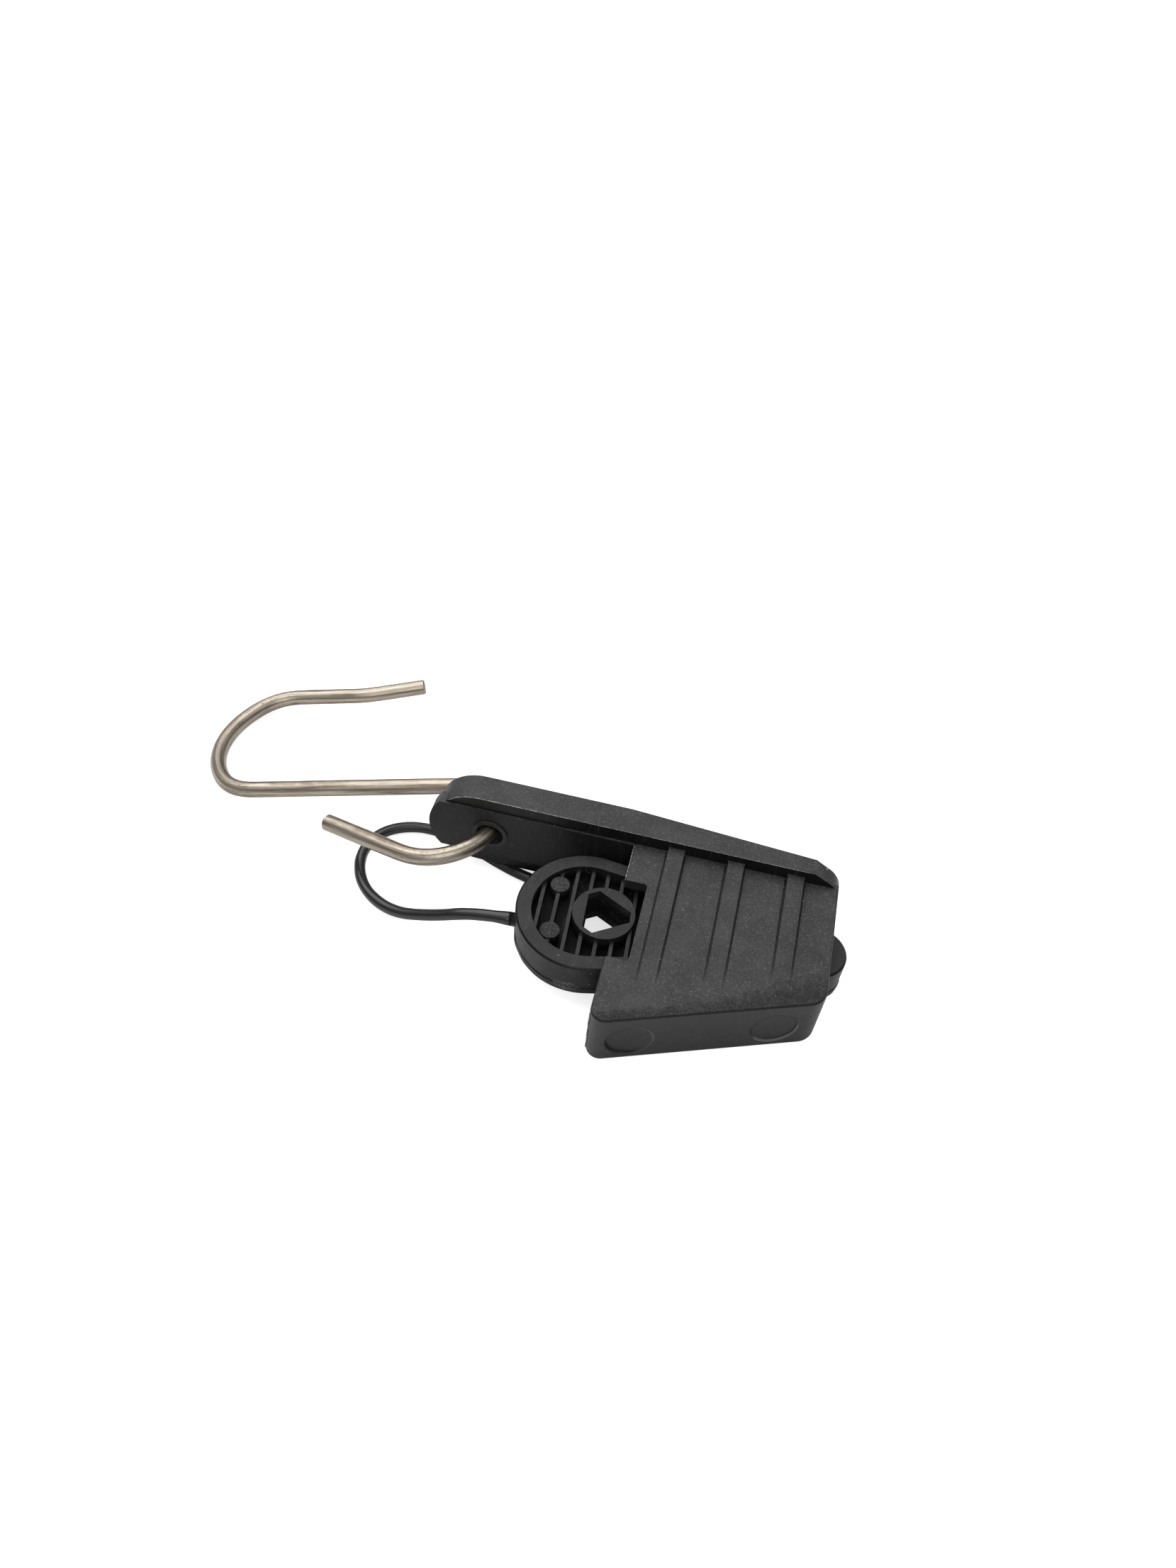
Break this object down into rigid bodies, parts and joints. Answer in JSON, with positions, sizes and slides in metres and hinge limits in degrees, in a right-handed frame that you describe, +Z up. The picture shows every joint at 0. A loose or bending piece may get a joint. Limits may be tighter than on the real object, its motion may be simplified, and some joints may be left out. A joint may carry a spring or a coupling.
{
  "type": "drop cable clamp",
  "caption": "Wedge clamp for flat or round drop cable: tapered open casing on a long arm, a ribbed sliding wedge on a tether and a wire hook to hang it by.",
  "frame": {"origin": "on the table under the middle of the clamp and its hook, the tether not counted", "axes": "+X along the arm towards the narrow end, +Y from the near wall towards the arm, +Z up from the table the clamp lies on"},
  "size_m": [0.1442, 0.09, 0.0219],
  "materials": {
    "casing": "fine moulded grain",
    "wedge": "satin moulded",
    "hook": "drawn wire with fine lengthwise streaks",
    "tether": "smooth, shiny"
  },
  "bodies": {
    "casing": {"casing": "casing", "tether": "tether"},
    "wedge": {"wedge": "wedge"},
    "hook": {"hook": "hook"}
  },
  "joints": [
    {"name": "wedge_slide", "type": "slide", "parent": "casing", "child": "wedge", "axis": [0.9974, 0.0642, -0.0336], "range_m": [-0.011, 0.008], "deforming": ["tether"]},
    {"name": "hook_swing", "type": "hinge", "parent": "casing", "child": "hook", "pos_m": [-0.00025, -0.00133, 0.01218], "axis": [0.0041, 0.9947, 0.1024], "range_deg": [0, 100]}
  ]
}
